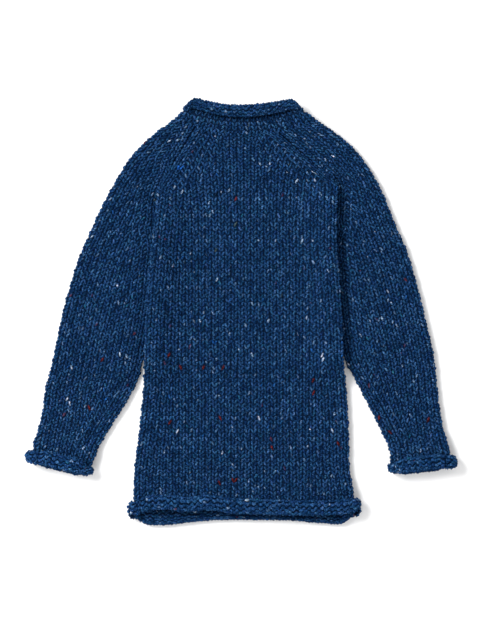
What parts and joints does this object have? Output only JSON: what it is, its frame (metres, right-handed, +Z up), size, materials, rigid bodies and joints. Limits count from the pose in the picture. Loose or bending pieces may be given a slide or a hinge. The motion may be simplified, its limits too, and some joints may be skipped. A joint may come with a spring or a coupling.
{
  "type": "roll-neck sweater",
  "caption": "Child's chunky tweed sweater laid flat on its back, with raglan sleeves and curled neck, hem and cuff edges.",
  "frame": {"origin": "on the surface that the sweater lies on, under the middle of its box", "axes": "+Z up from the surface, through the back and then the front; +Y from the hem to the neck; +X to the viewer's right, seen from above"},
  "size_m": [0.5381, 0.5321, 0.0292],
  "materials": {
    "tweed_wool": "matt hand-knitted tweed wool, navy with pale, rust and bright blue flecks"
  },
  "bodies": {
    "root": {"front": "tweed_wool", "back": "tweed_wool", "sleeve_left": "tweed_wool", "sleeve_right": "tweed_wool", "neckband": "tweed_wool"}
  },
  "joints": []
}
